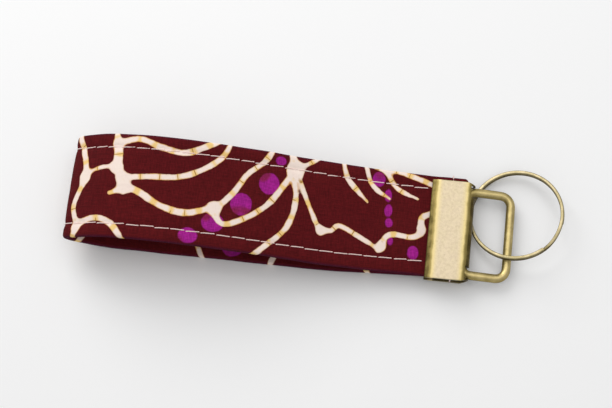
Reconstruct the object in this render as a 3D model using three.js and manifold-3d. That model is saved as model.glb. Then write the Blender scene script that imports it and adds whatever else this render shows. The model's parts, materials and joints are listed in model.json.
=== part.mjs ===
// Wristlet keychain: a folded print-fabric strap held in a crimped metal clamp, with a
// rectangular wire loop that swings in the clamp's fold and a split ring on the loop.
// Millimetres. +X runs along the strap towards the rings, +Y across it, +Z up.
// The origin is on the clamp's flat back face, halfway along the clamp in Y.
import * as THREE from 'three';
import { mergeVertices } from 'three/addons/utils/BufferGeometryUtils.js';
import Module from 'manifold-3d';

const wasm = await Module();
wasm.setup();

// ---------- driving dimensions ----------
const SURFACE_Z = -2.25; // the surface that the whole object lies on
const CLAMP = { length: 32, left: -7.4, right: 6.5, thick: 5.3, sheet: 0.8 };
const MID_Z = CLAMP.thick / 2;
const NOSE = { x: CLAMP.right - MID_Z, steps: 24 }; // the fold that holds the wire loop's bar
const CORNER = { along: 2.6, across: 0.8 }; // cut off each corner beside the nose
const LIP = { drop: 0.72, slope: 1.95, bend: 1.0 }; // each jaw's lip bends in towards the strap
const TOOTH = { pitch: 2.4, half: 0.34, length: 1.3, proud: 0.2, endRoom: 1 };

const WIRE = { radius: 1.4, sides: 12, steps: 96 };
const LOOP = { reach: 14.15, halfWidth: 13.52, bend: 3.4, hiddenBend: 2.6, droop: 7.4, seam: 0.9 };
const BAR_PLAY = 0.1; // between the loop's hidden bar and the inside of the nose
const PIVOT = new THREE.Vector3(CLAMP.right - CLAMP.sheet - BAR_PLAY - WIRE.radius, 0, MID_Z);
const SLOT = { from: 11.1, to: 15.1, above: 66, below: 78, radius: 3.6 }; // angles about PIVOT

const RING = { radius: 14.54, radial: 1.35, coil: 0.9, gap: 0.08, chamfer: 0.25, steps: 110 };
const JOGGLE = { middle: -30, span: 40 }; // where the ring's wire steps up, in degrees
const RING_CENTRE = new THREE.Vector3(19.95, 7.48, 2.42);
const RING_SLOPE = { x: 0.23, y: -0.112 }; // rise of the ring's plane per mm along X and Y

const STRAP = { centreY: 0.8, width: 33.6, widenFrom: -6, widenOver: 36 };
const STRAP_END = { centreY: 1.05, width: 32.7 }; // the same, in the clamp
const STRAP_HALF = 0.825; // half of one leg's thickness
const STITCH_ROOM = 0.42; // the lying leg's threads keep it off the surface
const LEG = { rise: 0.9, bite: 0.56 }; // middle of each leg from the clamp's middle plane
const PINCH = { x: -7, half: 0.48, reach: 5 }; // where the clamp's lips bite
const RECESS = { from: -0.1, to: 1.7, ramp: 0.6, half: 0.46 }; // where the basting thread lies
const WALL = 0.3; // one layer of the print fabric
const CORE_GAP = { face: 0.05, side: 0.35 }; // between the fabric and the webbing inside it
const STRAP_END_X = 2.3;
const THREAD = { radius: 0.15, lift: 0.1, sides: 4 };
const TOPSTITCH_STEPS = 90;
const BASTING = { corner: 0.35, from: -4, to: -3.4, steps: 110 };
const ROW_INSET = 4.4; // stitch rows from the strap's edges
const NEEDLE_END_X = -8.3;
const BOBBIN_END_X = -11.4;

// ---------- small helpers ----------
const rad = THREE.MathUtils.degToRad;
const smooth = (value, from, to) => THREE.MathUtils.smoothstep(value, from, to);

function toSolid(geometry) {
  const bare = geometry.clone();
  bare.deleteAttribute('normal');
  bare.deleteAttribute('uv');
  const merged = mergeVertices(bare, 1e-5);
  return new wasm.Manifold(new wasm.Mesh({
    numProp: 3,
    vertProperties: new Float32Array(merged.attributes.position.array),
    triVerts: new Uint32Array(merged.index.array),
  }));
}

function toGeometry(solid) {
  const mesh = solid.getMesh();
  const geometry = new THREE.BufferGeometry();
  geometry.setAttribute('position', new THREE.BufferAttribute(mesh.vertProperties, 3));
  geometry.setIndex(new THREE.BufferAttribute(mesh.triVerts, 1));
  geometry.computeVertexNormals();
  return geometry;
}

// An outline drawn in X and Z, extruded across the object from one Y to another.
function extrudeAcross(outline, fromY, toY) {
  const geometry = new THREE.ExtrudeGeometry(new THREE.Shape(outline), {
    depth: toY - fromY,
    bevelEnabled: false,
    steps: 1,
  });
  geometry.rotateX(Math.PI / 2);
  geometry.translate(0, toY, 0);
  return geometry;
}

function roundSection(radius, sides) {
  const corners = [];
  for (let i = 0; i < sides; i += 1) {
    const angle = (2 * Math.PI * (i + 0.5)) / sides;
    corners.push(new THREE.Vector2(radius * Math.cos(angle), radius * Math.sin(angle)));
  }
  return new THREE.Shape(corners);
}

function tube(path, radius, sides, steps) {
  const section = roundSection(radius, sides);
  return new THREE.ExtrudeGeometry(section, { extrudePath: path, steps, bevelEnabled: false });
}

// ---------- the strap's side profile ----------
// Middle of the fabric from the clamp, out along the front leg, round the fold and back.
const LYING_Z = SURFACE_Z + STITCH_ROOM + STRAP_HALF; // middle of the leg that lies on the surface
const midline = new THREE.SplineCurve([
  [STRAP_END_X, MID_Z + LEG.rise],
  [-2, MID_Z + LEG.rise - 0.02],
  [PINCH.x, MID_Z + LEG.bite],
  [-11.5, MID_Z + 0.95],
  [-20, 4.1],
  [-30, 5.5],
  [-40, 7.3],
  [-50, 9.7],
  [-60, 12.4],
  [-70, 14.9],
  [-80, 16.6],
  [-90, 17.5],
  [-99, 17.5],
  [-106.3, 16.5],
  [-111.6, 14.7],
  [-115.6, 12.5],
  [-119.1, 10.4],
  [-121.7, 8.1],
  [-120.4, 5.5],
  [-117, 3.1],
  [-111.6, 0.6],
  [-104.8, -0.7],
  [-97, LYING_Z + 0.09],
  [-84, LYING_Z],
  [-70, LYING_Z + 0.03],
  [-56, LYING_Z + 0.08],
  [-42, LYING_Z + 0.22],
  [-30, LYING_Z + 0.6],
  [-20, LYING_Z + 1.5],
  [-11.5, MID_Z - 1.1],
  [PINCH.x, MID_Z - LEG.bite],
  [-2, MID_Z - LEG.rise + 0.02],
  [STRAP_END_X, MID_Z - LEG.rise],
].map(([x, z]) => new THREE.Vector2(x, z)));
midline.arcLengthDivisions = 2000;
const midlineLength = midline.getLength();

// Close stations where the strap is pinched in the clamp, wider ones along the loop.
function stationDistances() {
  const fine = { reach: 12, step: 0.5 };
  const coarseSteps = 80;
  const distances = [];
  for (let d = 0; d < fine.reach; d += fine.step) distances.push(d);
  const free = midlineLength - 2 * fine.reach;
  for (let i = 0; i <= coarseSteps; i += 1) distances.push(fine.reach + (free * i) / coarseSteps);
  for (let d = fine.reach - fine.step; d >= 0; d -= fine.step) distances.push(midlineLength - d);
  return distances;
}

const stations = stationDistances().map((distance) => {
  const along = Math.min(distance / midlineLength, 1);
  const tangent = midline.getTangentAt(along);
  const outward = new THREE.Vector2(tangent.y, -tangent.x).normalize();
  return { point: midline.getPointAt(along), outward };
});

function legHalf(x) {
  const clear = smooth(Math.abs(x - PINCH.x), 0, PINCH.reach);
  const leg = PINCH.half + (STRAP_HALF - PINCH.half) * clear;
  const { from, to, ramp } = RECESS;
  const inRecess = smooth(x, from - ramp, from) * (1 - smooth(x, to, to + ramp));
  return leg + (RECESS.half - leg) * inRecess;
}

// The place across the object at a share of the strap's half width, less an inset.
function strapY(x, side, inset) {
  const widened = smooth(STRAP.widenFrom - x, 0, STRAP.widenOver);
  const centre = THREE.MathUtils.lerp(STRAP_END.centreY, STRAP.centreY, widened);
  const width = THREE.MathUtils.lerp(STRAP_END.width, STRAP.width, widened);
  return centre + side * (width / 2 - inset);
}

function offsetPoint(station, distance) {
  return station.point.clone().addScaledVector(station.outward, distance);
}

// A closed outline that follows the strap, thinner than the leg by inset on each face.
function strapOutline(inset, overrun) {
  const outer = stations.map((s) => offsetPoint(s, legHalf(s.point.x) - inset));
  const inner = stations.map((s) => offsetPoint(s, -(legHalf(s.point.x) - inset)));
  if (overrun > 0) {
    for (const side of [outer, inner]) {
      side.unshift(side[0].clone().setX(side[0].x + overrun));
      side.push(side[side.length - 1].clone().setX(side[side.length - 1].x + overrun));
    }
  }
  return [...outer, ...inner.reverse()];
}

// Widens a straight extrusion to the strap's own width, keeping sideInset from its edges.
function strapBody(faceInset, sideInset, overrun) {
  const geometry = extrudeAcross(strapOutline(faceInset, overrun), -1, 1);
  const position = geometry.attributes.position;
  for (let i = 0; i < position.count; i += 1) {
    const side = Math.sign(position.getY(i));
    position.setY(i, strapY(position.getX(i), side, sideInset));
  }
  return geometry;
}

function strapCover() {
  const cavity = strapBody(WALL, WALL, 1);
  return toGeometry(toSolid(strapBody(0, 0, 0)).subtract(toSolid(cavity)));
}

function strapCore() {
  return strapBody(WALL + CORE_GAP.face, WALL + CORE_GAP.side, 0);
}

// side is +1 for the needle thread on the outer face and -1 for the bobbin thread inside
// the loop; row is +1 for the row near the upper edge and -1 for the lower one.
function topstitch(side, row) {
  const endX = side > 0 ? NEEDLE_END_X : BOBBIN_END_X;
  const route = stations.filter((s) => s.point.x < endX).map((s) => {
    const offset = side * (legHalf(s.point.x) + THREAD.lift + THREAD.radius);
    const place = offsetPoint(s, offset);
    return new THREE.Vector3(place.x, strapY(s.point.x, row, ROW_INSET), place.y);
  });
  return tube(new THREE.CatmullRomCurve3(route), THREAD.radius, THREAD.sides, TOPSTITCH_STEPS);
}

// The basting thread goes once round both legs at the strap's ends, inside the clamp.
function bastingStitch() {
  const x = (RECESS.from + RECESS.to) / 2;
  const height = LEG.rise + RECESS.half + THREAD.lift + THREAD.radius;
  const reach = STRAP_END.width / 2 + THREAD.lift + THREAD.radius;
  const bend = BASTING.corner;
  const route = new THREE.CurvePath();
  const at = (dy, dz) => new THREE.Vector3(x, STRAP_END.centreY + dy, MID_Z + dz);
  const start = at(BASTING.from, -height);
  const turns = [
    [at(-reach + bend, -height), at(-reach, -height), at(-reach, -height + bend)],
    [at(-reach, height - bend), at(-reach, height), at(-reach + bend, height)],
    [at(reach - bend, height), at(reach, height), at(reach, height - bend)],
    [at(reach, -height + bend), at(reach, -height), at(reach - bend, -height)],
  ];
  let from = start;
  for (const [enter, control, leave] of turns) {
    route.add(new THREE.LineCurve3(from, enter));
    route.add(new THREE.QuadraticBezierCurve3(enter, control, leave));
    from = leave;
  }
  route.add(new THREE.LineCurve3(from, at(BASTING.to, -height)));
  return tube(route, THREAD.radius, THREAD.sides, BASTING.steps);
}

// ---------- the clamp ----------
// How far a lip has bent in at a distance from its edge: a straight slope, then a soft bend.
function lipDrop(distance) {
  const steepness = LIP.drop / (LIP.slope + LIP.bend / 2);
  if (distance < LIP.slope) return LIP.drop - steepness * distance;
  const left = Math.max(LIP.slope + LIP.bend - distance, 0);
  return (steepness * left * left) / (2 * LIP.bend);
}

// The upper half of the folded sheet, from the lip to the nose; mirrored for the lower.
function jawOutline() {
  const bendSteps = 4;
  const distances = [0];
  for (let i = 0; i <= bendSteps; i += 1) distances.push(LIP.slope + (LIP.bend * i) / bendSteps);
  return distances.map((d) => [CLAMP.left + d, MID_Z - lipDrop(d)]);
}

function clampSide(inset) {
  const upper = jawOutline().map(([x, height]) => [x, height - inset]);
  const nose = [];
  const radius = MID_Z - inset;
  for (let i = 0; i <= NOSE.steps; i += 1) {
    const angle = rad(90 - (180 * i) / NOSE.steps);
    nose.push([NOSE.x + radius * Math.cos(angle), radius * Math.sin(angle)]);
  }
  const lower = upper.map(([x, height]) => [x, -height]).reverse();
  return [...upper, ...nose, ...lower].map(([x, height]) => new THREE.Vector2(x, MID_Z + height));
}

// A three-sided prism that takes off one corner of the folded sheet, beside the nose.
function cornerCut(side) {
  const past = 1;
  const slope = CORNER.across / CORNER.along;
  const half = CLAMP.length / 2;
  const plan = [
    [CLAMP.right - CORNER.along - past, half + past * slope],
    [CLAMP.right + past, half - CORNER.across - past * slope],
    [CLAMP.right + past, half + past * slope],
  ].map(([x, y]) => new THREE.Vector2(x, side * y));
  const depth = CLAMP.thick + 2 * past;
  const prism = new THREE.ExtrudeGeometry(new THREE.Shape(plan), { depth, bevelEnabled: false });
  return prism.translate(0, 0, -past);
}

function clamp() {
  const half = CLAMP.length / 2;
  const outline = [...clampSide(0), ...clampSide(CLAMP.sheet).reverse()];
  let body = toSolid(extrudeAcross(outline, -half, half));
  const sector = new THREE.Shape();
  const arc = new THREE.EllipseCurve(PIVOT.x, PIVOT.z, SLOT.radius, SLOT.radius,
    rad(-SLOT.below), rad(SLOT.above));
  const arcStart = arc.getPoint(0);
  sector.moveTo(PIVOT.x, PIVOT.z);
  sector.lineTo(arcStart.x, arcStart.y);
  sector.curves.push(arc);
  const depth = SLOT.to - SLOT.from;
  const slot = new THREE.ExtrudeGeometry(sector, { depth, bevelEnabled: false, curveSegments: 12 });
  slot.rotateX(Math.PI / 2);
  for (const shift of [SLOT.to, -SLOT.from]) {
    body = body.subtract(toSolid(slot.clone().translate(0, shift, 0)));
  }
  for (const side of [1, -1]) body = body.subtract(toSolid(cornerCut(side)));
  const teeth = Math.floor((CLAMP.length - 2 * TOOTH.endRoom) / TOOTH.pitch);
  for (const side of [1, -1]) {
    const lipInside = MID_Z + side * (MID_Z - LIP.drop - CLAMP.sheet);
    for (let i = 0; i < teeth; i += 1) {
      const groove = new THREE.CylinderGeometry(TOOTH.half, TOOTH.half, TOOTH.length, 4);
      groove.rotateZ(Math.PI / 2);
      const y = (i - (teeth - 1) / 2) * TOOTH.pitch;
      groove.translate(CLAMP.left + TOOTH.length / 2 - TOOTH.proud, y, lipInside);
      body = body.subtract(toSolid(groove));
    }
  }
  return toGeometry(body);
}

// ---------- the wire loop ----------
// Drawn about its own hidden bar: u runs out from the bar and v across the object.
function wireLoop() {
  const { reach, halfWidth, bend, hiddenBend, seam } = LOOP;
  const at = (u, v) => new THREE.Vector3(u, v, 0);
  const points = [];
  const turn = (radius, u, v, fromAngle) => {
    const steps = 6;
    for (let i = 0; i <= steps; i += 1) {
      const angle = rad(fromAngle - (90 * i) / steps);
      points.push(at(u + radius * Math.cos(angle), v + radius * Math.sin(angle)));
    }
  };
  points.push(at(0, seam / 2), at(0, halfWidth / 3), at(0, halfWidth * 0.6));
  turn(hiddenBend, hiddenBend, halfWidth - hiddenBend, 180);
  points.push(at(reach / 2, halfWidth));
  turn(bend, reach - bend, halfWidth - bend, 90);
  points.push(at(reach, halfWidth * 0.35), at(reach, 0), at(reach, -halfWidth * 0.35));
  turn(bend, reach - bend, -halfWidth + bend, 0);
  points.push(at(reach / 2, -halfWidth));
  turn(hiddenBend, hiddenBend, -halfWidth + hiddenBend, -90);
  points.push(at(0, -halfWidth * 0.6), at(0, -halfWidth / 3), at(0, -seam / 2));
  const route = new THREE.CatmullRomCurve3(points, false, 'centripetal');
  return tube(route, WIRE.radius, WIRE.sides, WIRE.steps);
}

// ---------- the split ring ----------
// One flattened wire wound twice round: the lower coil, a joggle up, then the upper coil.
class SplitRingRoute extends THREE.Curve {
  getPoint(t, target = new THREE.Vector3()) {
    const half = JOGGLE.span / 2;
    const turned = half + t * (720 - JOGGLE.span);
    const rise = smooth(turned, 360 - half, 360 + half) - 0.5;
    const angle = rad(JOGGLE.middle + turned);
    const height = rise * (RING.coil + RING.gap);
    return target.set(RING.radius * Math.cos(angle), RING.radius * Math.sin(angle), height);
  }
}

function splitRing() {
  const x = RING.coil / 2;
  const y = RING.radial / 2;
  const { chamfer, steps } = RING;
  const section = new THREE.Shape([
    [-x, -y + chamfer], [-x + chamfer, -y], [x - chamfer, -y], [x, -y + chamfer],
    [x, y - chamfer], [x - chamfer, y], [-x + chamfer, y], [-x, y - chamfer],
  ].map(([a, b]) => new THREE.Vector2(a, b)));
  const extrudePath = new SplitRingRoute();
  return new THREE.ExtrudeGeometry(section, { extrudePath, steps, bevelEnabled: false });
}

// ---------- materials and the scene graph ----------
function finish(color, roughness, metalness) {
  return new THREE.MeshStandardMaterial({ color, roughness, metalness });
}
const printFabric = finish(0x5a1418, 0.9, 0);
const webbing = finish(0xd9d2c2, 0.95, 0);
const thread = finish(0xead0c6, 0.8, 0);
const brass = finish(0xb9a679, 0.42, 1);

const keychain = new THREE.Group();
function add(name, geometry, material, parent = keychain) {
  const mesh = new THREE.Mesh(geometry, material);
  mesh.name = name;
  parent.add(mesh);
  return mesh;
}

add('strap_cover', strapCover(), printFabric);
add('strap_core', strapCore(), webbing);
add('needle_thread_upper', topstitch(1, 1), thread);
add('needle_thread_lower', topstitch(1, -1), thread);
add('bobbin_thread_upper', topstitch(-1, 1), thread);
add('bobbin_thread_lower', topstitch(-1, -1), thread);
add('end_basting_stitch', bastingStitch(), thread);
add('clamp', clamp(), brass);

const loop = add('wire_loop', wireLoop(), brass);
loop.position.copy(PIVOT);
loop.rotation.y = rad(LOOP.droop);

const ring = add('split_ring', splitRing(), brass);
const ringNormal = new THREE.Vector3(-RING_SLOPE.x, -RING_SLOPE.y, 1).normalize();
ring.quaternion.setFromUnitVectors(new THREE.Vector3(0, 0, 1), ringNormal);
ring.position.copy(RING_CENTRE);

export default keychain;
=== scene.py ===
"""Wristlet keychain: its looks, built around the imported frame.

Shapes are worked out in millimetres, in the frame of the CAD model, and turned into metres
as each mesh is made. +X runs along the strap towards the rings, +Y across it and +Z up.
"""
import json
import math

import bmesh
import bpy
import numpy as np
from mathutils import Matrix, Vector


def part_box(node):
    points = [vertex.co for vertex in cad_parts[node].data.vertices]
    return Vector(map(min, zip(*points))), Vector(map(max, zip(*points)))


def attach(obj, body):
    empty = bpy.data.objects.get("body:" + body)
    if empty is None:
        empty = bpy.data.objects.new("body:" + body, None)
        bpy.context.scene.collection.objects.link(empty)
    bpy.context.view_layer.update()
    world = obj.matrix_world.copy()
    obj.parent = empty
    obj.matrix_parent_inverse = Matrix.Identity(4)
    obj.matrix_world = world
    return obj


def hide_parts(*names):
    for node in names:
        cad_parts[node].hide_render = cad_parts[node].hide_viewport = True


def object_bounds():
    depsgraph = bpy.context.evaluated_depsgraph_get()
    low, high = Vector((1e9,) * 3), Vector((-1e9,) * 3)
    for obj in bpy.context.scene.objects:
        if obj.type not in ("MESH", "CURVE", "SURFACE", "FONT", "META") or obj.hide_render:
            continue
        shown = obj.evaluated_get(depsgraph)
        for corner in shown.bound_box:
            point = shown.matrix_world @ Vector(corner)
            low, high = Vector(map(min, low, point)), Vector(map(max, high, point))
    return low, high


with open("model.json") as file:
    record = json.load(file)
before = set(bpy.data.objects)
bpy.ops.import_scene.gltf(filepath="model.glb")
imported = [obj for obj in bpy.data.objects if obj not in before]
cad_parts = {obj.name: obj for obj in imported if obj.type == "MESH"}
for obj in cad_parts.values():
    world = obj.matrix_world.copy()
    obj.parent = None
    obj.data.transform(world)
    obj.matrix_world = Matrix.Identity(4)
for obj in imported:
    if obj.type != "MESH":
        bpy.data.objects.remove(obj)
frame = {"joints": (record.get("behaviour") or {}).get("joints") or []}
cad_box = [list(corner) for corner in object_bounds()]

MM = 0.001


def box_mm(node):
    """The lowest and the highest corner of a CAD node, in millimetres."""
    return [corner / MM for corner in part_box(node)]


def joint_place(name):
    """A point on a joint's axis, in millimetres."""
    found = next(joint for joint in frame["joints"] if joint["name"] == name)
    return np.array(found["pos_m"]) / MM


# ---------- the camera ----------
# Angles in degrees, the lens and the place in millimetres.
CAMERA = {
    "azimuth": 15.43,
    "elevation": 75.72,
    "roll": -9.28,
    "lens": 73.37,
    "place": (-20.72, -90.96, 390.62),
}


def make_camera():
    turn = math.radians(CAMERA["azimuth"])
    rise = math.radians(CAMERA["elevation"])
    roll = math.radians(CAMERA["roll"])
    back = Vector((math.sin(turn) * math.cos(rise), -math.cos(turn) * math.cos(rise), math.sin(rise)))
    level = Vector((math.cos(turn), math.sin(turn), 0))
    up = back.cross(level)
    right = math.cos(roll) * level + math.sin(roll) * up
    up = back.cross(right)
    camera = bpy.data.objects.new("camera", bpy.data.cameras.new("camera"))
    bpy.context.scene.collection.objects.link(camera)
    camera.matrix_world = Matrix.Translation(Vector(CAMERA["place"]) * MM) @ Matrix(
        (right, up, back)
    ).transposed().to_4x4()
    camera.data.lens = CAMERA["lens"]
    camera.data.clip_start = 0.01
    bpy.context.scene.camera = camera


make_camera()

# ---------- the clamp's and the strap's sizes, as in the CAD ----------
clamp_low, clamp_high = box_mm("clamp")
cover_low, cover_high = box_mm("strap_cover")
MID_Z = (clamp_low.z + clamp_high.z) / 2
SHEET = 0.8
LIP = {"drop": 0.72, "slope": 1.95, "bend": 1.0}
SLOT = {"from": 11.1, "to": 15.1, "above": 66, "below": 78}  # degrees about the loop's bar
CORNER = {"along": 2.6, "across": 0.8, "power": 1.3}
TOOTH = {"pitch": 2.4, "depth": 0.3}
BEVEL = {"width": 0.16, "segments": 3, "from_angle": 50}

STRAP_END_X = cover_high.x
STRAP = {"centre": (cover_low.y + cover_high.y) / 2, "width": cover_high.y - cover_low.y}
STRAP_END = {"centre": 1.05, "width": 32.7}
WIDEN = {"from": -6, "over": 36}
STRAP_HALF = 0.825
WALL = 0.3
LEG = {"rise": 0.9, "bite": 0.56}
PINCH = {"x": -7, "half": 0.48, "reach": 5}  # where the clamp's lips bite
RECESS = {"from": -0.1, "to": 1.7, "ramp": 0.6, "half": 0.46}  # where the basting thread lies
# The strap's corners beside the loop's bar: how far they reach, and where in X and Y they start.
EAR = {"reach": 1.7, "start_x": -1.5, "from": 14.6, "to": 15.3, "corner": 1.3, "rounding": 1.1}
ROW_INSET = 4.4
LYING_Z = cover_low.z + STRAP_HALF
# Relief of the quilted faces: swells, stitch rows, unevenness and creases inside the fold. The
# face that lies on the surface keeps less of it, and it all fades out on the way into the clamp.
QUILT = {
    "body": 0.3,
    "rim": 0.16,
    "groove": 0.26,
    "groove_beat": 0.1,
    "groove_reach": 0.8,
    "pucker": 0.05,
    "pucker_reach": 1.6,
    "uneven": 0.16,
    "uneven_cell": 17,
    "ripple": 0.05,
    "ripple_cell": 5,
    "crease": 0.16,
    "crease_pitch": 2.7,
    "crease_slant": 0.08,
    "crease_reach": 7,
    "lying_slope": (0.9, 0.99),
    "lying_loss": 0.65,
    "lying_lift": 0.12,
    "starts": (7.5, 14),
}
EDGE_WANDER = {"depth": 0.14, "cell": 9, "apart": 40, "near_edge": (6, 16), "starts": (12, 20)}
LOWER_EDGE = {"inset": 0.28, "reach": 0.2, "starts": (8, 12)}

STITCH = {
    "pitch": 4.7,
    "length": 4.75,
    "lean": 0.3,
    "drift": 0.1,
    "dive": 0.08,
    "depth": 0.45,
    "rise": 0.55,
    "needle_end": -8.3,
    "bobbin_end": -11.4,
}
THREAD = {"ply": 0.11, "helix": 0.085, "twist": 0.9, "sides": 6}
BASTING = {"thread": 0.15, "corner": 0.6, "slant": 1.6, "inset": 0.42, "start": 4, "end": 3.4}
CORE = {"clearance": 0.06, "stations": 260, "every": 3}
SEED = {"uneven": 3, "ripple": 4, "edges": 8, "ticks": 11, "stitches": 20}


# ---------- small helpers ----------
def smoothstep(value, low, high):
    t = np.clip((np.asarray(value, float) - low) / (high - low), 0, 1)
    return t * t * (3 - 2 * t)


def unit(vectors):
    return vectors / np.linalg.norm(vectors, axis=-1, keepdims=True)


def catmull_rom(points, per_span=40):
    """A smooth curve through the points, with the two end points repeated."""
    p = np.asarray(points, float)
    t = np.linspace(0, 1, per_span, endpoint=False)[:, None]
    spans = []
    for i in range(len(p) - 1):
        a, b, c, d = p[max(i - 1, 0)], p[i], p[i + 1], p[min(i + 2, len(p) - 1)]
        cubic = 2 * a - 5 * b + 4 * c - d + t * (3 * (b - c) + d - a)
        spans.append(b + 0.5 * t * (c - a + t * cubic))
    return np.vstack(spans + [p[-1:]])


def arc_lengths(points):
    steps = np.linalg.norm(np.diff(points, axis=0), axis=1)
    return np.concatenate([[0], np.cumsum(steps)])


def resample(points, distances):
    lengths = arc_lengths(points)
    return np.column_stack([np.interp(distances, lengths, axis) for axis in points.T])


def soft_noise(u, v, cell, seed):
    """Smooth random heights from -1 to 1, with one new value for each cell of u and v."""
    grid = np.random.default_rng(seed).uniform(-1, 1, (128, 128))
    x = np.asarray(u, float) / cell
    y = np.asarray(v, float) / cell
    i = np.floor(x).astype(int)
    j = np.floor(y).astype(int)
    a = smoothstep(x - i, 0, 1)
    b = smoothstep(y - j, 0, 1)
    i, j = i % 127, j % 127
    low = grid[i, j] * (1 - a) + grid[i + 1, j] * a
    high = grid[i, j + 1] * (1 - a) + grid[i + 1, j + 1] * a
    return low * (1 - b) + high * b


class Solid:
    """Vertices and faces in millimetres, gathered piece by piece."""

    def __init__(self):
        self.vertices = []
        self.faces = []
        self.count = 0

    def add(self, vertices, faces):
        self.vertices.append(np.asarray(vertices, float))
        self.faces.extend(tuple(corner + self.count for corner in face) for face in faces)
        self.count += len(vertices)

    def add_rings(self, rings, capped=True):
        """A closed skin over rings of equal size, with a flat cap at each end."""
        count, around = rings.shape[:2]
        faces = []
        for i in range(count - 1):
            for j in range(around):
                k = (j + 1) % around
                low, high = i * around, (i + 1) * around
                faces.append((low + j, low + k, high + k, high + j))
        if capped:
            faces.append(tuple(reversed(range(around))))
            faces.append(tuple(range((count - 1) * around, count * around)))
        self.add(rings.reshape(-1, 3), faces)

    def build(self, name, smooth_angle):
        mesh = bpy.data.meshes.new(name)
        mesh.from_pydata((np.vstack(self.vertices) * MM).tolist(), [], self.faces)
        piece = bpy.data.objects.new(name, mesh)
        bpy.context.scene.collection.objects.link(piece)
        work = bmesh.new()
        work.from_mesh(mesh)
        bmesh.ops.recalc_face_normals(work, faces=work.faces)
        work.to_mesh(mesh)
        work.free()
        mesh.shade_smooth()
        mesh.set_sharp_from_angle(angle=math.radians(smooth_angle))
        return piece


def axes_along(path, reference):
    """Two unit vectors across the path at each point; the first keeps close to the reference."""
    tangent = unit(np.gradient(path, axis=0))
    reference = np.broadcast_to(np.asarray(reference, float), path.shape)
    first = unit(reference - np.sum(reference * tangent, axis=1, keepdims=True) * tangent)
    return first, np.cross(tangent, first)


def sweep_rings(path, section, reference):
    """Rings of the section along the path; its first axis keeps close to the reference."""
    first, second = axes_along(path, reference)
    a = section[:, 0][None, :, None]
    b = section[:, 1][None, :, None]
    return path[:, None, :] + a * first[:, None, :] + b * second[:, None, :]


def circle(radius, sides):
    angles = np.arange(sides) * 2 * math.pi / sides
    return radius * np.column_stack([np.cos(angles), np.sin(angles)])


def apply_modifiers(piece):
    graph = bpy.context.evaluated_depsgraph_get()
    mesh = bpy.data.meshes.new_from_object(piece.evaluated_get(graph))
    piece.modifiers.clear()
    piece.data = mesh
    mesh.shade_smooth()
    mesh.set_sharp_from_angle(angle=math.radians(40))


def vertices_mm(piece):
    flat = np.zeros(len(piece.data.vertices) * 3, np.float32)
    piece.data.vertices.foreach_get("co", flat)
    return flat.reshape(-1, 3) / MM


def set_attribute(piece, name, kind, values):
    attribute = piece.data.attributes.new(name, kind, "POINT")
    key = "vector" if kind == "FLOAT_VECTOR" else "value"
    attribute.data.foreach_set(key, np.asarray(values, np.float32).ravel())


def show(piece, body, material, node):
    """Puts the piece on its body, in place of the CAD node."""
    piece.data.materials.append(material)
    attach(piece, body)
    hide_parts(node)


# ---------- materials ----------
def srgb(red, green, blue):
    """A colour given on the usual 0 to 255 scale, as the shaders take it."""
    channels = (red / 255, green / 255, blue / 255)
    return tuple(c / 12.92 if c <= 0.04045 else ((c + 0.055) / 1.055) ** 2.4 for c in channels) + (1,)


class Shader:
    """A node material, with one short call for each kind of node."""

    def __init__(self, name, **constants):
        self.material = bpy.data.materials.new(name)
        self.material.use_nodes = True
        self.tree = self.material.node_tree
        self.surface = self.tree.nodes["Principled BSDF"]
        for socket, value in constants.items():
            self.surface.inputs[socket.replace("_", " ")].default_value = value

    def node(self, kind, inputs=(), **settings):
        made = self.tree.nodes.new(kind)
        for key, value in settings.items():
            setattr(made, key, value)
        for key, value in dict(inputs).items():
            if isinstance(value, bpy.types.NodeSocket):
                self.tree.links.new(value, made.inputs[key])
            else:
                made.inputs[key].default_value = value
        return made

    def attribute(self, name, output="Fac"):
        return self.node("ShaderNodeAttribute", attribute_name=name).outputs[output]

    def math(self, operation, a, b=0.0):
        return self.node("ShaderNodeMath", {0: a, 1: b}, operation=operation).outputs[0]

    def ramp(self, value, start, end, low=0.0, high=1.0):
        """low before start, high after end, and a smooth step between them."""
        inputs = {"Value": value, "From Min": start, "From Max": end, "To Min": low, "To Max": high}
        made = self.node("ShaderNodeMapRange", inputs, interpolation_type="SMOOTHSTEP")
        return made.outputs[0]

    def mix(self, factor, a, b):
        made = self.node("ShaderNodeMix", {0: factor, 6: a, 7: b}, data_type="RGBA")
        return made.outputs[2]

    def tint(self, colour, factor):
        """The colour times a grey level."""
        inputs = {0: 1.0, 6: colour, 7: factor}
        made = self.node("ShaderNodeMix", inputs, data_type="RGBA", blend_type="MULTIPLY")
        return made.outputs[2]

    def noise(self, vector, scale, detail):
        inputs = {"Vector": vector, "Scale": scale, "Detail": detail}
        return self.node("ShaderNodeTexNoise", inputs).outputs["Fac"]

    def place(self):
        """The point on the object, in millimetres."""
        coordinates = self.node("ShaderNodeTexCoord").outputs["Object"]
        inputs = {0: coordinates, "Scale": 1 / MM}
        return self.node("ShaderNodeVectorMath", inputs, operation="SCALE").outputs[0]

    def bump(self, height, strength, distance_mm):
        inputs = {"Height": height, "Strength": strength, "Distance": distance_mm * MM}
        made = self.node("ShaderNodeBump", inputs)
        self.tree.links.new(made.outputs[0], self.surface.inputs["Normal"])

    def link(self, value, socket):
        self.tree.links.new(value, self.surface.inputs[socket])


WEAVE_PITCH = 0.42


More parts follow.
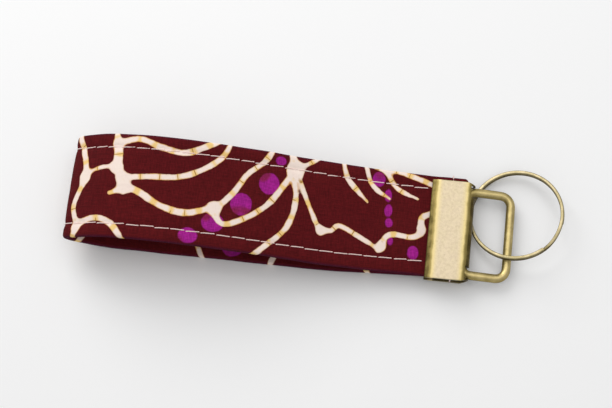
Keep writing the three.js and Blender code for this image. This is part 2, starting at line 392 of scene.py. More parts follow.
def weave_height(shader, cloth):
    """A plain weave: at each crossing the warp or the weft is on top by turns."""
    parts = shader.node("ShaderNodeSeparateXYZ", {0: cloth}).outputs
    along = shader.math("SINE", shader.math("MULTIPLY", parts[0], math.pi / WEAVE_PITCH))
    across = shader.math("SINE", shader.math("MULTIPLY", parts[1], math.pi / WEAVE_PITCH))
    warp = shader.math("ABSOLUTE", across)
    weft = shader.math("ABSOLUTE", along)
    over = shader.math("GREATER_THAN", shader.math("MULTIPLY", along, across), 0.0)
    warp_top = shader.math("MULTIPLY", warp, over)
    weft_top = shader.math("MULTIPLY", weft, shader.math("SUBTRACT", 1.0, over))
    return shader.math("ADD", warp_top, weft_top)


def yarn_slubs(shader, cloth, stretch):
    """Thicker and thinner, darker and lighter lengths of yarn in one direction."""
    stretched = shader.node("ShaderNodeVectorMath", {0: cloth, 1: stretch}, operation="MULTIPLY")
    return shader.ramp(shader.noise(stretched.outputs[0], 0.8, 2.0), 0.3, 0.7, 0.84, 1.16)


def print_fabric():
    """Dark red cotton with pale veins, golden ticks across them and purple dots."""
    shader = Shader("print_fabric", Roughness=0.9, Specular_IOR_Level=0.1)
    cloth = shader.attribute("cloth", "Vector")
    weave = weave_height(shader, cloth)
    ragged = shader.math("MULTIPLY", shader.math("SUBTRACT", shader.noise(cloth, 0.6, 3.0), 0.5), 0.4)
    vein = shader.math("ADD", shader.attribute("vein"), ragged)
    dot = shader.math("ADD", shader.attribute("dot"), ragged)
    phase = shader.attribute("phase")
    nearest = shader.math("SUBTRACT", phase, shader.math("ROUND", phase))
    tick = shader.math("ABSOLUTE", nearest)
    spread = shader.ramp(shader.noise(cloth, 0.23, 1.0), 0.35, 0.65, 0.04, 0.2)
    golden = shader.ramp(shader.math("SUBTRACT", tick, spread), 0.14, -0.1, 0.0, 0.85)
    room = shader.attribute("tick_room")

    ground = shader.mix(shader.noise(cloth, 0.05, 2.0), srgb(78, 12, 18), srgb(92, 20, 22))
    ground = shader.mix(shader.attribute("edge"), ground, srgb(52, 22, 58))
    rust = shader.ramp(shader.noise(cloth, 0.13, 1.0), 0.58, 0.7)
    purple = shader.mix(rust, srgb(156, 32, 132), srgb(132, 32, 78))
    ground = shader.mix(shader.ramp(dot, 0.25, -0.15), ground, purple)
    cream = shader.mix(shader.noise(cloth, 0.3, 3.0), srgb(249, 235, 221), srgb(245, 223, 214))
    pale = shader.mix(shader.math("MULTIPLY", golden, room), cream, srgb(242, 202, 112))
    fine = shader.math("LESS_THAN", shader.noise(cloth, 0.11, 0.0), 0.52)
    line = shader.math("MULTIPLY", shader.ramp(tick, 0.035, 0.015, 0.0, 0.8), fine)
    pale = shader.mix(shader.math("MULTIPLY", line, room), pale, srgb(150, 100, 26))
    stained = shader.ramp(shader.noise(cloth, 0.15, 1.0), 0.45, 0.6, 0.4, 0.95)
    rim = shader.math("MULTIPLY", shader.ramp(vein, -0.4, 0.0), stained)
    pale = shader.mix(rim, pale, srgb(214, 150, 60))
    printed = shader.ramp(vein, 0.1, -0.1)
    warp = yarn_slubs(shader, cloth, (0.3, 4, 1))
    weft = yarn_slubs(shader, cloth, (4, 0.3, 1))
    # Painted shade in the weave: the yarn on top at each crossing lighter, the hollows between
    # darker; the slubs are the yarn's own tone.
    weave_shade = shader.ramp(weave, 0, 1, 0.45, 1.3)
    slubs_and_weave_shade = shader.math("MULTIPLY", shader.math("MULTIPLY", warp, weft), weave_shade)
    ground = shader.tint(ground, slubs_and_weave_shade)
    pale = shader.tint(pale, shader.ramp(slubs_and_weave_shade, 0.6, 1.2, 0.93, 1.02))
    shader.link(shader.mix(printed, ground, pale), "Base Color")
    shader.bump(weave, 0.55, 0.05)
    return shader.material


def thread_material():
    shader = Shader("thread", Roughness=0.7, Sheen_Weight=0.2)
    place = shader.place()
    colour = shader.mix(shader.noise(place, 0.8, 2.0), srgb(250, 228, 220), srgb(236, 204, 198))
    shader.link(colour, "Base Color")
    shader.bump(shader.noise(place, 14.0, 2.0), 0.4, 0.03)
    return shader.material


def webbing_material():
    shader = Shader("webbing", Roughness=0.9)
    cloth = shader.attribute("cloth", "Vector")
    weave = weave_height(shader, cloth)
    shade = shader.ramp(weave, 0.0, 1.0, 0.7, 1.0)
    colour = shader.mix(shader.noise(cloth, 0.4, 2.0), srgb(226, 219, 202), srgb(208, 200, 182))
    shader.link(shader.tint(colour, shade), "Base Color")
    shader.bump(weave, 0.7, 0.08)
    return shader.material


def antique_brass():
    """Worn plating: pale where it is rubbed, dark olive where the patina has stayed; the same
    attribute also carries painted shade and painted highlights.
    """
    shader = Shader("antique_brass", Metallic=1.0)
    place = shader.place()
    blotch = shader.noise(place, 0.35, 4.0)
    grain = shader.noise(place, 2.6, 3.0)
    speck = shader.ramp(shader.noise(place, 1.3, 4.0), 0.62, 0.75)
    # The attribute mixes real patina with painted shade and painted highlights, set piece by piece.
    patina_and_painted_light = shader.math("ADD", shader.attribute("patina_and_painted_light"), shader.ramp(blotch, 0.3, 0.7, -0.1, 0.1))
    worn = shader.mix(shader.noise(place, 0.5, 3.0), srgb(222, 204, 182), srgb(208, 194, 160))
    clouded = shader.ramp(shader.noise(place, 1.1, 3.0), 0.42, 0.62, 0.0, 0.28)
    pale = shader.mix(shader.math("MULTIPLY", grain, 0.6), worn, srgb(190, 176, 150))
    pale = shader.mix(clouded, pale, srgb(176, 158, 138))
    olive = shader.mix(grain, srgb(168, 150, 92), srgb(150, 132, 78))
    gold = shader.attribute("gold")
    pale = shader.mix(gold, pale, srgb(218, 198, 140))
    middle = shader.mix(gold, srgb(164, 154, 120), olive)
    dark = shader.mix(grain, srgb(92, 80, 42), srgb(60, 50, 26))
    colour = shader.mix(shader.ramp(patina_and_painted_light, 0.05, 0.5), pale, middle)
    colour = shader.mix(shader.ramp(patina_and_painted_light, 0.5, 1.0), colour, dark)
    colour = shader.mix(shader.math("MULTIPLY", speck, 0.18), colour, srgb(120, 104, 64))
    shader.link(colour, "Base Color")
    shader.link(shader.ramp(grain, 0.2, 0.8, 0.34, 0.5), "Roughness")
    shader.bump(grain, 0.25, 0.03)
    return shader.material


# ---------- the strap's surface ----------
PROFILE = {"step": 0.25, "smoothings": 60, "free": (11, 16)}


def strap_profile():
    """The middle of the fabric, from the clamp, out along the front leg, round and back."""
    route = catmull_rom(
        [
            (STRAP_END_X, MID_Z + LEG["rise"]),
            (-2, MID_Z + LEG["rise"] - 0.02),
            (PINCH["x"], MID_Z + LEG["bite"]),
            (-11.5, MID_Z + 0.95),
            (-20, 4.1),
            (-30, 5.5),
            (-40, 7.3),
            (-50, 9.7),
            (-60, 12.4),
            (-70, 14.9),
            (-80, 16.6),
            (-90, 17.5),
            (-99, 17.5),
            (-106.3, 16.5),
            (-111.6, 14.7),
            (-115.6, 12.5),
            (-119.1, 10.4),
            (-121.7, 8.1),
            (-120.4, 5.5),
            (-117, 3.1),
            (-111.6, 0.6),
            (-104.8, -0.7),
            (-97, LYING_Z + 0.09),
            (-84, LYING_Z),
            (-70, LYING_Z + 0.03),
            (-56, LYING_Z + 0.08),
            (-42, LYING_Z + 0.22),
            (-30, LYING_Z + 0.6),
            (-20, LYING_Z + 1.5),
            (-11.5, MID_Z - 1.1),
            (PINCH["x"], MID_Z - LEG["bite"]),
            (-2, MID_Z - LEG["rise"] + 0.02),
            (STRAP_END_X, MID_Z - LEG["rise"]),
        ]
    )
    length = arc_lengths(route)[-1]
    middle = resample(route, np.linspace(0, length, round(length / PROFILE["step"])))
    free = smoothstep(-middle[1:-1, :1], *PROFILE["free"])
    for _ in range(PROFILE["smoothings"]):
        middle[1:-1] += free * 0.5 * ((middle[:-2] + middle[2:]) / 2 - middle[1:-1])
    return middle


profile = strap_profile()
profile_distances = arc_lengths(profile)
STRAP_LENGTH = profile_distances[-1]
profile_tangent = unit(np.gradient(profile, axis=0))
profile_outward = np.column_stack([profile_tangent[:, 1], -profile_tangent[:, 0]])
FOLD_AT = profile_distances[np.argmin(profile[:, 0])]


def at_distance(values, distance):
    return np.interp(distance, profile_distances, values)


def leg_half(x):
    clear = smoothstep(np.abs(x - PINCH["x"]), 0, PINCH["reach"])
    leg = PINCH["half"] + (STRAP_HALF - PINCH["half"]) * clear
    ramp = RECESS["ramp"]
    entered = smoothstep(x, RECESS["from"] - ramp, RECESS["from"])
    left = smoothstep(x, RECESS["to"], RECESS["to"] + ramp)
    return leg + (RECESS["half"] - leg) * entered * (1 - left)


def from_end_to_loop(x, key):
    """A size of the strap that changes from its ends in the clamp to the open loop."""
    share = smoothstep(WIDEN["from"] - x, 0, WIDEN["over"])
    return STRAP_END[key] + (STRAP[key] - STRAP_END[key]) * share


def strap_half_width(x):
    return from_end_to_loop(x, "width") / 2


def strap_centre(x):
    return from_end_to_loop(x, "centre")


def relief(distance, across, side):
    """How far the quilted face stands proud at a distance along and across the strap."""
    x = at_distance(profile[:, 0], distance)
    faces_down = -side * at_distance(profile_outward[:, 1], distance)
    lying = smoothstep(faces_down, *QUILT["lying_slope"])
    half = strap_half_width(x)
    row = half - ROW_INSET
    reach = np.abs(across)
    from_row = np.abs(reach - row)
    beat = np.cos(2 * math.pi * (distance - STITCH["pitch"] / 2) / STITCH["pitch"])
    body = QUILT["body"] * np.clip(1 - (reach / row) ** 4, 0, 1)
    rim = QUILT["rim"] * np.sin(math.pi * np.clip((half - reach) / ROW_INSET, 0, 1))
    groove = QUILT["groove"] + QUILT["groove_beat"] * beat
    groove = groove * np.exp(-((from_row / QUILT["groove_reach"]) ** 2))
    pucker = QUILT["pucker"] * beat * np.exp(-from_row / QUILT["pucker_reach"])
    uneven = QUILT["uneven"] * soft_noise(distance, across, QUILT["uneven_cell"], SEED["uneven"])
    ripple = QUILT["ripple"] * soft_noise(distance, across, QUILT["ripple_cell"], SEED["ripple"])
    near_fold = np.exp(-(((distance - FOLD_AT) / QUILT["crease_reach"]) ** 2))
    slant = QUILT["crease_slant"] * across
    wave = np.sin(2 * math.pi * distance / QUILT["crease_pitch"] + slant)
    crease = QUILT["crease"] * near_fold * wave * (side < 0)
    height = body + rim - groove - pucker + (uneven + ripple) + crease
    height = height + lying * (QUILT["lying_lift"] - QUILT["lying_loss"] * height)
    return height * smoothstep(-x, *QUILT["starts"])


def on_strap(distance, y, side, lift):
    """Points a lift above the outer face (side 1) or the face inside the loop (side -1)."""
    x = at_distance(profile[:, 0], distance)
    height = leg_half(x) + relief(distance, y - strap_centre(x), side) + lift
    across_x = side * height * at_distance(profile_outward[:, 0], distance)
    across_z = side * height * at_distance(profile_outward[:, 1], distance)
    return np.column_stack([x + across_x, y, at_distance(profile[:, 1], distance) + across_z])


FACE_STEPS = 62
EDGE_STEPS = 10
SLEEVE_STEP = 0.5


def section_loop():
    """Once round the strap: place across the flat, push over the edge, and which face."""
    flat = np.linspace(-1, 1, FACE_STEPS + 1)
    turn = np.linspace(0, math.pi, EDGE_STEPS + 1)[1:-1]
    none = np.zeros_like(flat)
    ones = np.ones_like(turn)
    across = np.concatenate([flat, ones, -flat, -ones])
    edge = np.concatenate([none, np.sin(turn), none, -np.sin(turn)])
    out = np.concatenate([none + 1, np.cos(turn), none - 1, -np.cos(turn)])
    return across, edge, out


def sleeve_rings(distances, inset, textured):
    """Rings of the strap's skin, inset from the outside, with their cloth coordinates."""
    across, edge, out = section_loop()
    x = at_distance(profile[:, 0], distances)[:, None]
    z = at_distance(profile[:, 1], distances)[:, None]
    half = leg_half(x) - inset
    flat = strap_half_width(x) - inset - half
    y = flat * across + half * edge
    rise = 0
    if textured:
        side = np.where(out > 0, 1, -1)
        grid = np.broadcast_to(distances[:, None], y.shape)
        rise = relief(grid, y, np.broadcast_to(side, y.shape)) * np.abs(out)
        row = np.sign(y) * EDGE_WANDER["apart"]
        wander = EDGE_WANDER["depth"] * soft_noise(grid, row, EDGE_WANDER["cell"], SEED["edges"])
        near_edge = smoothstep(np.abs(y), *EDGE_WANDER["near_edge"])
        y = y + wander * smoothstep(-x, *EDGE_WANDER["starts"]) * near_edge * np.sign(y)
        middle_of_edge = np.exp(-((out / LOWER_EDGE["reach"]) ** 2)) * (edge < 0)
        y = y + LOWER_EDGE["inset"] * middle_of_edge * smoothstep(-x, *LOWER_EDGE["starts"])
    lift = (half + rise) * out
    place_x = x + lift * at_distance(profile_outward[:, 0], distances)[:, None]
    place_z = z + lift * at_distance(profile_outward[:, 1], distances)[:, None]
    place_y = strap_centre(x) + y
    from_corner = np.clip(1 - (strap_half_width(x) - y) / EAR["corner"], 0, 1)
    ear = EAR["reach"] - EAR["rounding"] * from_corner**2
    ear = smoothstep(place_y, EAR["from"], EAR["to"]) * ear
    place_x = place_x + ear * smoothstep(x, EAR["start_x"], STRAP_END_X)
    return np.stack([place_x, place_y, place_z], axis=2)


# ---------- the print ----------
# Veins as (points, half width); a point is (distance along the strap, place across it).
VEINS = [
    ([(127, 19), (122, 9), (121, 3), (124, -6), (122, -13), (125, -19)], 1.0),
    ([(121, 4), (116, 6), (110, 7)], 0.69),
    ([(122, -12), (115, -10), (109, -12), (104, -18)], 1.0),
    ([(110, 6), (110, 11), (112, 19)], 1.4),
    ([(111, 14), (104, 16), (97, 14), (89, 13), (81, 17), (76, 21)], 1.05),
    ([(107.5, 3), (100, 4), (90, 5), (82, 9), (77, 14), (75, 20)], 0.92),
    ([(109, 6), (107, 1), (102, -1), (94, -5), (86, -6), (78, -3)], 1.0),
    ([(107.5, 3), (106.5, -1)], 1.7),
    ([(106, 0), (111, -2)], 1.2),
    ([(78, -4), (73, 2), (69, 9), (64, 14), (61, 20)], 0.92),
    ([(79, -3), (75, -8), (68, -5), (62, 0), (58, 6), (55, 12)], 0.92),
    ([(54, 12), (56, 20)], 1.38),
    ([(54, 13), (48, 17), (44, 21)], 0.69),
    ([(55, 12), (53, 3), (55, -6), (61, -13), (67, -19)], 0.95),
    ([(53, 11), (49, 3), (45, -4), (41, -5), (38, -3), (31, -6), (25, -9)], 0.77),
    ([(25, -9), (22, -4), (15, -4), (12, -2), (12, 3), (7, 5), (2, 4)], 0.92),
    ([(39, 20), (37, 13), (30, 6)], 0.85),
    ([(32, 20), (29, 12), (23, 8)], 0.77),
    ([(26, 19), (21, 12), (14, 9)], 0.85),
    ([(28, 18), (19, 17), (12, 15), (4, 12)], 0.85),
    ([(132, 20), (134, 9), (130, -2), (135, -10), (131, -19)], 0.92),
    ([(133, 7), (142, 4), (150, 8), (158, 20)], 0.92),
    ([(134, -9), (145, -8), (153, -3), (162, -4), (170, -10), (175, -19)], 0.85),
    ([(149, 8), (160, 6), (170, 2), (180, 6), (187, 13), (189, 20)], 0.92),
    ([(170, 2), (178, -3), (190, -4), (200, 0), (208, 8), (211, 20)], 1.0),
    ([(190, -4), (197, -10), (194, -20)], 0.92),
    ([(200, 0), (212, -2), (222, -8), (229, -20)], 0.85),
    ([(222, -8), (232, -4), (240, 2), (252, 0)], 0.92),
    ([(229, 20), (228, 12), (221, 6)], 0.85),
    ([(239, 20), (237, 12), (230, 7)], 0.77),
]
# Knots where veins meet: distance along, place across, radius.
KNOTS = [
    (121, 3, 2.1),
    (122, -13, 1.4),
    (110, 6.5, 1.3),
    (78, -3.5, 1.7),
    (54, 13, 2.7),
    (44, -5.5, 1.4),
    (24, -8, 1.3),
    (12, -1, 1.2),
    (133, 7, 1.7),
    (170, 2, 1.7),
    (191, -4, 1.6),
    (222, -8, 1.6),
]
# Dots: distance along, place across, radius along, radius across.
DOTS = [
    (70, -1, 3.3, 3.5),
    (62, 7, 3.2, 3.4),
    (85, -13, 2.9, 2.4),
    (78, -8, 3.4, 2.9),
    (59, 15, 1.6, 1.4),
    (27, 14, 2.0, 2.4),
    (23.5, 9, 1.1, 2.0),
    (23, 4, 1.2, 2.0),
    (22.5, 0, 1.2, 1.4),
    (21.5, -6, 0.8, 1.3),
    (14, -9, 1.7, 2.1),
    (146, 15, 3.0, 3.0),
    (151, 0, 2.6, 2.8),
    (165, 12, 3.1, 3.0),
    (183, -12, 3.2, 2.8),
    (203, -9, 3.0, 3.2),
    (215, 5, 2.4, 2.4),
    (237, -11, 3.0, 2.8),
    (246, 9, 2.4, 2.6),
]
TICKS = {"spacing": (4.2, 7.2), "per_vein": 40, "room": (0.7, 1.7)}
VEIN = {"step": 0.4, "swell": 0.14, "swell_cell": 3.5, "tip": 0.55, "taper": 5, "web": 1.8}
NEAR_VEIN = 6
FAR = 9.0  # a distance beyond every vein and dot
BLOCK = 8000  # how many points are worked out at once


def soft_union(first, second):
    """The nearer of two signed distances, with a web where the two shapes meet."""
    web = VEIN["web"]
    share = np.clip(0.5 + (first - second) / (2 * web), 0, 1)
    return first * (1 - share) + second * share - web * share * (1 - share)


def print_fields(points):
    """Distances to the veins and the dots, the ticks' phase, and where the ticks may show."""
    rng = np.random.default_rng(SEED["ticks"])
    vein = np.full(len(points), FAR)
    nearest, second = vein.copy(), vein.copy()
    phase = np.full(len(points), 0.5)
    for controls, half in VEINS:
        route = catmull_rom(controls, 24)
        length = arc_lengths(route)[-1]
        along = np.linspace(0, length, max(int(length / VEIN["step"]), 3))
        route = resample(route, along)
        tangent = unit(np.gradient(route, axis=0))
        ticks = np.cumsum(rng.uniform(*TICKS["spacing"], TICKS["per_vein"])) - TICKS["spacing"][0]
        seed = int(controls[0][0])
        swell = 1 + VEIN["swell"] * soft_noise(along, along * 0, VEIN["swell_cell"], seed)
        taper = VEIN["tip"] + (1 - VEIN["tip"]) * smoothstep(length - along, 0, VEIN["taper"])
        widths = half * swell * taper
        reach = np.abs(points - (route.max(0) + route.min(0)) / 2) - np.ptp(route, axis=0) / 2
        near = np.flatnonzero(reach.max(axis=1) < NEAR_VEIN)
        for block in np.array_split(near, max(len(near) // BLOCK, 1)):
            offset = points[block][:, None, :] - route
            gap = np.linalg.norm(offset, axis=2) - widths
            best = gap.argmin(axis=1)
            rows = np.arange(len(block))
            gap = gap[rows, best]
            closer = gap < nearest[block]
            slide = np.sum(offset[rows, best] * tangent[best], axis=1)
            place = np.interp(along[best] + slide, ticks, np.arange(len(ticks)))
            phase[block] = np.where(closer, place, phase[block])
            second[block] = np.where(closer, nearest[block], np.minimum(second[block], gap))
            nearest[block] = np.minimum(nearest[block], gap)
            vein[block] = soft_union(vein[block], gap)
    for along, across, radius in KNOTS:
        gap = np.hypot(points[:, 0] - along, points[:, 1] - across) - radius
        vein = soft_union(vein, gap)
        second = np.minimum(second, gap)
    dot = np.full(len(points), FAR)
    for along, across, long, wide in DOTS:
        scaled = np.hypot((points[:, 0] - along) / long, (points[:, 1] - across) / wide)
        dot = np.minimum(dot, (scaled - 1) * min(long, wide))
    return vein, phase, smoothstep(second - nearest, *TICKS["room"]), dot


def cloth_fields(distances):
    """For each vertex of the sleeve: its place on the cloth and on the print."""
    across, edge, out = section_loop()
    half = STRAP_HALF
    flat = STRAP["width"] / 2 - half
    over = np.arccos(np.clip(out, -1, 1)) * half
    print_y = across * (flat + np.where(out > 0, over, math.pi * half - over) * (np.abs(edge) > 0))
    loop_y = across * flat + half * edge
    steps = np.hypot(np.diff(loop_y), half * np.diff(out))
    girth = np.concatenate([[0], np.cumsum(steps)])
    along = np.repeat(distances, len(across))
    cloth = np.column_stack([along, np.tile(girth, len(distances)), along * 0])
    points = np.column_stack([along, np.tile(print_y, len(distances)) + STRAP["centre"]])
    edges = np.tile(np.abs(edge), len(distances))
    return cloth, points, edges


# ---------- the strap's pieces ----------
def strap_sleeve():
    """The print fabric: a long sleeve of one layer, open at its two ends in the clamp."""
    count = round(STRAP_LENGTH / SLEEVE_STEP)
    out = np.linspace(0, STRAP_LENGTH, count + 1)
    back = np.linspace(STRAP_LENGTH, 0, count // 4 + 1)
    rings = np.concatenate([sleeve_rings(out, 0, True), sleeve_rings(back, WALL, False)])
    solid = Solid()
    solid.add_rings(rings, capped=False)
    around = rings.shape[1]
    last = (len(rings) - 1) * around
    for j in range(around):
        k = (j + 1) % around
        solid.faces.append((last + j, last + k, k, j))
    piece = solid.build("strap_sleeve", 60)
    cloth, points, edges = cloth_fields(np.concatenate([out, back]))
    vein, phase, tick_room, dot = print_fields(points)
    set_attribute(piece, "cloth", "FLOAT_VECTOR", cloth)
    set_attribute(piece, "vein", "FLOAT", vein)
    set_attribute(piece, "phase", "FLOAT", phase)
    set_attribute(piece, "tick_room", "FLOAT", tick_room)
    set_attribute(piece, "dot", "FLOAT", dot)
    set_attribute(piece, "edge", "FLOAT", 0.45 * edges)
    return piece


def core_webbing():
    """The plain webbing folded inside the sleeve, which gives the strap its body."""
    distances = np.linspace(0, STRAP_LENGTH, CORE["stations"])
    around = len(section_loop()[0])
    keep = np.arange(0, around, CORE["every"])
    rings = sleeve_rings(distances, WALL + CORE["clearance"], False)[:, keep]
    solid = Solid()
    solid.add_rings(rings)
    piece = solid.build("core_webbing", 60)
    cloth = cloth_fields(distances)[0].reshape(len(distances), around, 3)[:, keep]
    set_attribute(piece, "cloth", "FLOAT_VECTOR", cloth.reshape(-1, 3))
    return piece


def add_twisted(solid, path, reference):
    """A two-ply thread along the path."""
    first, second = axes_along(path, reference)
    turned = arc_lengths(path) * 2 * math.pi / THREAD["twist"]
    section = circle(THREAD["ply"], THREAD["sides"])
    for start in (0, math.pi):
        a = np.cos(turned + start)[:, None]
        b = np.sin(turned + start)[:, None]
        ply = path + THREAD["helix"] * (a * first + b * second)
        solid.add_rings(sweep_rings(ply, section, reference))


def stitch_row(name, side, row):
    """One row of lockstitches: each dives into the cloth at both of its ends."""
    end_x = STITCH["needle_end"] if side > 0 else STITCH["bobbin_end"]
    first = profile_distances[np.argmax(profile[:, 0] < end_x)]
    rng = np.random.default_rng(SEED["stitches"] + 2 * side + row)
    t = np.linspace(0, 1, 22)
    lift = STITCH["rise"] * smoothstep(np.minimum(t, 1 - t), 0, STITCH["dive"]) - STITCH["depth"]
    drift = STITCH["drift"]
    solid = Solid()
    starts = np.arange(first, STRAP_LENGTH - first - STITCH["length"], STITCH["pitch"])
    for start in starts:
        length = STITCH["length"] * rng.uniform(0.92, 1.04)
        distance = start + t * length
        x = at_distance(profile[:, 0], distance)
        lean = STITCH["lean"] * rng.uniform(0.3, 1.6) * (0.5 - t) + rng.uniform(-drift, drift)
        y = strap_centre(x) + row * (strap_half_width(x) - ROW_INSET) + side * lean
        add_twisted(solid, on_strap(distance, y, side, lift), (0, 1, 0))
    return solid.build(name, 60)


def basting_stitch():
    """The thread once round both legs, where the clamp holds the strap's ends."""
    low, high = box_mm("end_basting_stitch")
    thread, corner = BASTING["thread"], BASTING["corner"]
    x = (low.x + high.x) / 2
    top_x = x - BASTING["slant"]
    y0, y1 = low.y + thread, high.y - thread - BASTING["inset"]
    z0, z1 = low.z + thread, high.z - thread
    loop = [
        (x, STRAP_END["centre"] - BASTING["start"], z0),
        (x, y0 + corner, z0),
        (x, y0, z0 + corner),
        (x, y0, z1 - corner),
        (x, y0 + corner, z1),
        (x, STRAP_END["centre"], z1),
        (top_x, y1 - corner, z1),
        (top_x, y1, z1 - corner),
        (top_x, y1, z0 + corner),
        (top_x, y1 - corner, z0),
        (x, STRAP_END["centre"] - BASTING["end"], z0),
    ]
    route = catmull_rom(loop, 60)
    length = arc_lengths(route)[-1]
    solid = Solid()
    add_twisted(solid, resample(route, np.linspace(0, length, 480)), (1, 0, 0))
    return solid.build("basting_thread", 60)


# ---------- the metal ----------
def lip_drop(distance):
    steepness = LIP["drop"] / (LIP["slope"] + LIP["bend"] / 2)
    left = np.clip(LIP["slope"] + LIP["bend"] - distance, 0, None)
    bent = steepness * left**2 / (2 * LIP["bend"])
    return np.where(distance < LIP["slope"], LIP["drop"] - steepness * distance, bent)


CLAMP_STEPS = {"slope": 6, "bend": 7, "flat": 10, "nose": 18}


def clamp_profile():
    """The outside of the folded sheet, from the upper lip's edge round the nose, in X and Z."""
    half = MID_Z - clamp_low.z
    nose_x = clamp_high.x - half
    bends = CLAMP_STEPS["bend"]
    bend = LIP["slope"] + LIP["bend"] * np.linspace(1 / bends, 1, bends)
    lip = np.concatenate([np.linspace(0, LIP["slope"], CLAMP_STEPS["slope"]), bend])
    angles = np.radians(np.linspace(88, 0, CLAMP_STEPS["nose"]))
    flat_from = clamp_low.x + lip[-1] + 0.8
    flat = np.linspace(flat_from, nose_x, CLAMP_STEPS["flat"])
    upper = np.vstack(
        [
            np.column_stack([clamp_low.x + lip, half - lip_drop(lip)]),
            np.column_stack([flat, flat * 0 + half]),
            np.column_stack([nose_x + half * np.cos(angles), half * np.sin(angles)]),
        ]
    )
    return np.vstack([upper, upper[:-1][::-1] * (1, -1)])


def clamp_piece():
    """One sheet of brass, folded round the wire loop's bar, with two slots and two lips."""
    outside = clamp_profile()
    tangent = unit(np.gradient(outside, axis=0))
    inward = np.column_stack([tangent[:, 1], -tangent[:, 0]])
    inside = outside + SHEET * inward
    half = clamp_high.y
    marks = [-half, -SLOT["to"], -SLOT["from"], SLOT["from"], SLOT["to"], half]
    counts = [2, 9, 58, 9, 2]
    stations = np.concatenate(
        [np.linspace(a, b, n, endpoint=False) for a, b, n in zip(marks, marks[1:], counts)] + [[half]]
    )
    rows, columns = len(outside), len(stations)

    past = np.clip((outside[:, :1] - clamp_high.x) / CORNER["along"] + 1, 0, 1)
    end_y = half - CORNER["across"] * past ** CORNER["power"]

    def skin(line):
        grid = np.zeros((rows, columns, 3))
        grid[:, :, 0] = line[:, :1]
        grid[:, :, 1] = np.clip(stations, -end_y, end_y)
        grid[:, :, 2] = MID_Z + line[:, 1:]
        return grid

    outer, inner = skin(outside), skin(inside)
    wave = np.clip(np.cos(2 * math.pi * stations / TOOTH["pitch"]), 0, 1)
    for edge, sign in ((0, 1), (-1, -1)):
        inner[edge, :, 2] += sign * TOOTH["depth"] * wave
    pivot = joint_place("wire_loop_swing")
    angle = np.degrees(np.arctan2(outside[:, 1] + MID_Z - pivot[2], outside[:, 0] - pivot[0]))
    in_slot_row = (angle[:-1] > -SLOT["below"]) & (angle[1:] < SLOT["above"])
    middle_y = np.abs(stations[1:] + stations[:-1]) / 2
    in_slot_column = (middle_y > SLOT["from"]) & (middle_y < SLOT["to"])
    solid_cell = ~(in_slot_row[:, None] & in_slot_column[None, :])
    solid = Solid()
    faces = []
    lift = rows * columns

    def is_solid(i, j):
        return 0 <= i < rows - 1 and 0 <= j < columns - 1 and solid_cell[i, j]

    for i in range(rows - 1):
        for j in range(columns - 1):
            if not solid_cell[i, j]:
                continue
            a, b = i * columns + j, i * columns + j + 1
            c, d = b + columns, a + columns
            faces.append((a, b, c, d))
            faces.append((a + lift, d + lift, c + lift, b + lift))
            edges = ((a, b, i - 1, j), (b, c, i, j + 1), (c, d, i + 1, j), (d, a, i, j - 1))
            for start, end, beside_i, beside_j in edges:
                if not is_solid(beside_i, beside_j):
                    faces.append((end, start, start + lift, end + lift))
    solid.add(np.vstack([outer.reshape(-1, 3), inner.reshape(-1, 3)]), faces)
    piece = solid.build("clamp_sheet", 60)
    work = bmesh.new()
    work.from_mesh(piece.data)
    loose = [v for v in work.verts if not v.link_faces]
    bmesh.ops.delete(work, geom=loose, context="VERTS")
    work.to_mesh(piece.data)
    work.free()
    rounding = piece.modifiers.new("rounded_edges", "BEVEL")
    rounding.width = BEVEL["width"] * MM
    rounding.segments = BEVEL["segments"]
    rounding.limit_method = "ANGLE"
    rounding.angle_limit = math.radians(BEVEL["from_angle"])
    apply_modifiers(piece)
    paint_clamp(piece)
    return piece


def paint_clamp(piece):
    """Patina stays on the ends and inside the fold; painted shade lies on the lips' bevels, the nose
    and the sheet's side faces, with a painted highlight along each lip's crease; the flats are rubbed
    pale.
    """
    p = vertices_mm(piece)
    half = MID_Z - clamp_low.z
    depth = half - np.abs(p[:, 2] - MID_Z)
    from_lip = p[:, 0] - clamp_low.x
    slope = LIP["slope"]
    # Painted shade: the lips' bevels darker, darkest at their edges, in place of the dim surroundings
    # they reflect.
    lip = 0.8 - 0.45 * smoothstep(from_lip, 0.9, slope) + 0.2 * smoothstep(0.4 - from_lip, 0, 0.3)
    lip = lip * smoothstep(slope + 0.5 - from_lip, 0, 0.4)
    # Painted highlight: a pale line along the crease where each lip bends into the flat.
    crease_highlight = 0.3 * np.exp(-(((from_lip - slope - 0.35) / 0.35) ** 2))
    # Painted shade: the nose darker where it curves away from the flat.
    nose = smoothstep(p[:, 0], 3.4, 5.0)
    ends = 0.35 * smoothstep(np.abs(p[:, 1]), clamp_high.y - 0.35, clamp_high.y)
    # Patina inside the fold, and painted shade on the nose's front and the sheet's side faces, all
    # darker by how far they lie from the top and bottom faces.
    inner_patina_and_side_shade = smoothstep(depth, 0.12, 0.5) * (from_lip > 2.8)
    patina_and_painted_light = np.maximum.reduce([lip, 0.55 * nose, ends, 0.85 * inner_patina_and_side_shade]) - crease_highlight
    set_attribute(piece, "patina_and_painted_light", "FLOAT", patina_and_painted_light)
    on_flat = smoothstep(from_lip, slope, slope + 1.6) * smoothstep(3.9 - p[:, 0], 0, 1.4)
    set_attribute(piece, "gold", "FLOAT", 1 - 0.9 * on_flat)


WIRE_RADIUS = 1.4
LOOP = {
    "half_width": 13.52,
    "bend": 3.4,
    "hidden_bend": 2.6,
    "seam": 0.9,
    "chamfer": 0.8,
    "points": 240,
    "smoothings": 6,
    "sides": 28,
}


def quarter_turn(centre_u, centre_v, radius, start):
    angles = np.radians(np.linspace(start, start - 90, 14))
    return np.column_stack([centre_u + radius * np.cos(angles), centre_v + radius * np.sin(angles)])


